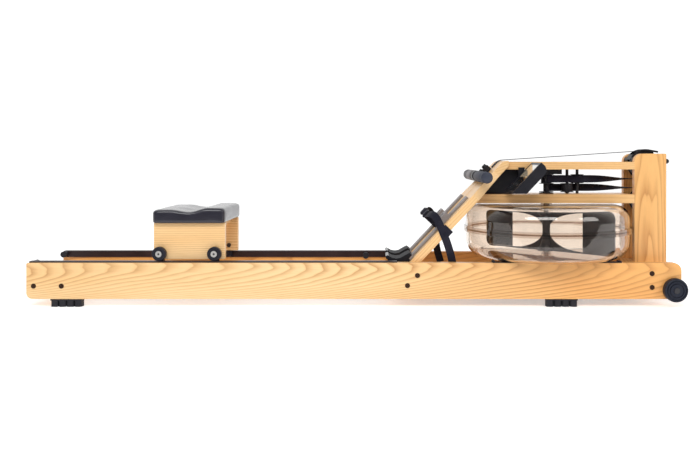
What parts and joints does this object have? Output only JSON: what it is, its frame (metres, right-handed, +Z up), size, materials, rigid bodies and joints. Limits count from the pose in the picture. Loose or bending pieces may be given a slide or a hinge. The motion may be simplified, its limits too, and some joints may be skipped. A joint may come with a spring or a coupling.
{
  "type": "rowing machine",
  "caption": "Water-resistance rowing machine: wooden rails, sliding seat, sloped footboard with heel rests, clear water tank with impeller, strap drive, handle and tilting monitor.",
  "frame": {"origin": "on the floor under the middle of the bounding box", "axes": "+X along the rails from the seat end to the tank end, +Y to the side away from the monitor, +Z up"},
  "size_m": [2.09, 0.552, 0.5015],
  "materials": {
    "ash_wood": "satin oiled",
    "rubber_black": "matte",
    "wheel_rubber": "matte",
    "roller_urethane": "satin",
    "track_urethane": "satin",
    "webbing": "woven",
    "cord_rubber": "braided cover",
    "smoked_clear_plastic": "clear, smoke tinted",
    "impeller_plastic": "satin",
    "steel": "satin",
    "bronzed_steel": "dark bronze",
    "seat_vinyl": "moulded, satin",
    "grip_foam": "foam",
    "grey_plastic": "satin",
    "screen": "gloss",
    "black_plastic": "satin"
  },
  "bodies": {
    "frame": {"rail_left": "ash_wood", "rail_right": "ash_wood", "track_left": "track_urethane", "track_right": "track_urethane", "rear_spacer": "ash_wood", "front_spacer": "ash_wood", "footboard": "ash_wood", "footboard_cleat": "ash_wood", "lower_deck": "ash_wood", "upper_deck": "ash_wood", "upright_left": "ash_wood", "upright_right": "ash_wood", "rubber_feet": "rubber_black", "frame_bolts": "bronzed_steel", "seat_stops": "rubber_black", "storage_bumpers": "rubber_black", "tank_lower_shell": "smoked_clear_plastic", "tank_upper_shell": "smoked_clear_plastic", "tank_pads": "rubber_black", "spool_bearings": "black_plastic", "pulley_guard": "black_plastic", "frame_pins": "steel", "drive_strap": "webbing", "recoil_strap": "webbing", "bungee_cord": "cord_rubber", "deck_brace": "black_plastic", "monitor_arm": "black_plastic", "toe_clamps": "grey_plastic", "foot_strap_left": "webbing", "foot_strap_right": "webbing"},
    "seat": {"seat_pad": "seat_vinyl", "seat_base": "ash_wood", "seat_side_left": "ash_wood", "seat_side_right": "ash_wood", "seat_bolts": "steel"},
    "handle": {"handle_bar": "ash_wood", "handle_grips": "grip_foam", "handle_bracket": "black_plastic"},
    "monitor": {"monitor_housing": "black_plastic", "monitor_screen": "screen"},
    "impeller_rotor": {"impeller": "impeller_plastic", "impeller_shaft": "steel"},
    "seat_wheel_rear_left": {"seat_wheel_rear_left": "roller_urethane"},
    "seat_wheel_rear_right": {"seat_wheel_rear_right": "roller_urethane"},
    "seat_wheel_front_left": {"seat_wheel_front_left": "roller_urethane"},
    "seat_wheel_front_right": {"seat_wheel_front_right": "roller_urethane"},
    "guide_roller_rear_left": {"guide_roller_rear_left": "roller_urethane"},
    "guide_roller_rear_right": {"guide_roller_rear_right": "roller_urethane"},
    "guide_roller_front_left": {"guide_roller_front_left": "roller_urethane"},
    "guide_roller_front_right": {"guide_roller_front_right": "roller_urethane"},
    "top_pulley": {"top_pulley": "black_plastic"},
    "lower_pulley": {"lower_pulley": "black_plastic"},
    "front_pulley": {"front_pulley": "black_plastic"},
    "bobbin_upper": {"bobbin_upper": "black_plastic"},
    "bobbin_lower": {"bobbin_lower": "black_plastic"},
    "spool": {"spool": "black_plastic"},
    "heel_rest_left": {"heel_rest_left": "grey_plastic"},
    "heel_rest_right": {"heel_rest_right": "grey_plastic"},
    "transport_wheel_left": {"transport_wheel_left": "wheel_rubber"},
    "transport_wheel_right": {"transport_wheel_right": "wheel_rubber"}
  },
  "joints": [
    {"name": "seat_slide", "type": "slide", "parent": "frame", "child": "seat", "axis": [1, 0, 0], "range_m": [-0.383, 0.458]},
    {"name": "seat_wheel_rear_left_roll", "type": "hinge", "parent": "seat", "child": "seat_wheel_rear_left", "pos_m": [-0.629, -0.144, 0.1658], "axis": [0, 1, 0], "continuous": true},
    {"name": "seat_wheel_rear_right_roll", "type": "hinge", "parent": "seat", "child": "seat_wheel_rear_right", "pos_m": [-0.629, 0.144, 0.1658], "axis": [0, 1, 0], "continuous": true},
    {"name": "seat_wheel_front_left_roll", "type": "hinge", "parent": "seat", "child": "seat_wheel_front_left", "pos_m": [-0.453, -0.144, 0.1658], "axis": [0, 1, 0], "continuous": true},
    {"name": "seat_wheel_front_right_roll", "type": "hinge", "parent": "seat", "child": "seat_wheel_front_right", "pos_m": [-0.453, 0.144, 0.1658], "axis": [0, 1, 0], "continuous": true},
    {"name": "guide_roller_rear_left_roll", "type": "hinge", "parent": "seat", "child": "guide_roller_rear_left", "pos_m": [-0.629, -0.1182, 0.137], "axis": [0, 0, 1], "continuous": true},
    {"name": "guide_roller_rear_right_roll", "type": "hinge", "parent": "seat", "child": "guide_roller_rear_right", "pos_m": [-0.629, 0.1182, 0.137], "axis": [0, 0, 1], "continuous": true},
    {"name": "guide_roller_front_left_roll", "type": "hinge", "parent": "seat", "child": "guide_roller_front_left", "pos_m": [-0.453, -0.1182, 0.137], "axis": [0, 0, 1], "continuous": true},
    {"name": "guide_roller_front_right_roll", "type": "hinge", "parent": "seat", "child": "guide_roller_front_right", "pos_m": [-0.453, 0.1182, 0.137], "axis": [0, 0, 1], "continuous": true},
    {"name": "handle_pull", "type": "slide", "parent": "frame", "child": "handle", "axis": [-1, 0, 0], "range_m": [0, 1.2], "stiffness_N_per_m": 30, "springref_m": -0.2, "deforming": ["drive_strap"]},
    {"name": "top_pulley_turn", "type": "hinge", "parent": "frame", "child": "top_pulley", "pos_m": [0.965, 0, 0.449], "axis": [0, 1, 0], "continuous": true},
    {"name": "lower_pulley_turn", "type": "hinge", "parent": "frame", "child": "lower_pulley", "pos_m": [0.965, 0, 0.33], "axis": [0, 1, 0], "continuous": true},
    {"name": "front_pulley_turn", "type": "hinge", "parent": "frame", "child": "front_pulley", "pos_m": [0.985, 0, 0.056], "axis": [0, 1, 0], "continuous": true},
    {"name": "bobbin_upper_turn", "type": "hinge", "parent": "frame", "child": "bobbin_upper", "pos_m": [0.742, 0, 0.402], "axis": [0, 0, 1], "continuous": true},
    {"name": "bobbin_lower_turn", "type": "hinge", "parent": "frame", "child": "bobbin_lower", "pos_m": [0.708, 0, 0.372], "axis": [0, 0, 1], "continuous": true},
    {"name": "spool_turn", "type": "hinge", "parent": "frame", "child": "spool", "pos_m": [0.638, 0, 0.387], "axis": [0, 0, 1], "continuous": true},
    {"name": "impeller_turn", "type": "hinge", "parent": "frame", "child": "impeller_rotor", "pos_m": [0.638, 0, 0.23], "axis": [0, 0, 1], "continuous": true},
    {"name": "heel_rest_left_adjust", "type": "slide", "parent": "frame", "child": "heel_rest_left", "axis": [0.6858, 0, 0.7278], "range_m": [-0.02, 0.05]},
    {"name": "heel_rest_right_adjust", "type": "slide", "parent": "frame", "child": "heel_rest_right", "axis": [0.6858, 0, 0.7278], "range_m": [-0.02, 0.05]},
    {"name": "monitor_tilt", "type": "hinge", "parent": "frame", "child": "monitor", "pos_m": [0.541, -0.073, 0.4], "axis": [0, 1, 0], "range_deg": [-20, 20]},
    {"name": "transport_wheel_left_roll", "type": "hinge", "parent": "frame", "child": "transport_wheel_left", "pos_m": [1.0075, -0.178, 0.055], "axis": [0, 1, 0], "continuous": true},
    {"name": "transport_wheel_right_roll", "type": "hinge", "parent": "frame", "child": "transport_wheel_right", "pos_m": [1.0075, 0.178, 0.055], "axis": [0, 1, 0], "continuous": true}
  ],
  "couplings": [
    {"joint": "seat_wheel_rear_left_roll", "follows": "seat_slide", "rad_per_m": 44.444},
    {"joint": "seat_wheel_rear_right_roll", "follows": "seat_slide", "rad_per_m": 44.444},
    {"joint": "seat_wheel_front_left_roll", "follows": "seat_slide", "rad_per_m": 44.444},
    {"joint": "seat_wheel_front_right_roll", "follows": "seat_slide", "rad_per_m": 44.444},
    {"joint": "guide_roller_rear_left_roll", "follows": "seat_slide", "rad_per_m": -95.238},
    {"joint": "guide_roller_rear_right_roll", "follows": "seat_slide", "rad_per_m": 95.238},
    {"joint": "guide_roller_front_left_roll", "follows": "seat_slide", "rad_per_m": -95.238},
    {"joint": "guide_roller_front_right_roll", "follows": "seat_slide", "rad_per_m": 95.238},
    {"joint": "top_pulley_turn", "follows": "handle_pull", "rad_per_m": -21.277},
    {"joint": "lower_pulley_turn", "follows": "handle_pull", "rad_per_m": -13.94},
    {"joint": "front_pulley_turn", "follows": "handle_pull", "rad_per_m": -26.613},
    {"joint": "bobbin_upper_turn", "follows": "handle_pull", "rad_per_m": 49.261},
    {"joint": "bobbin_lower_turn", "follows": "handle_pull", "rad_per_m": 28.842},
    {"joint": "spool_turn", "follows": "handle_pull", "rad_per_m": 51.813}
  ]
}
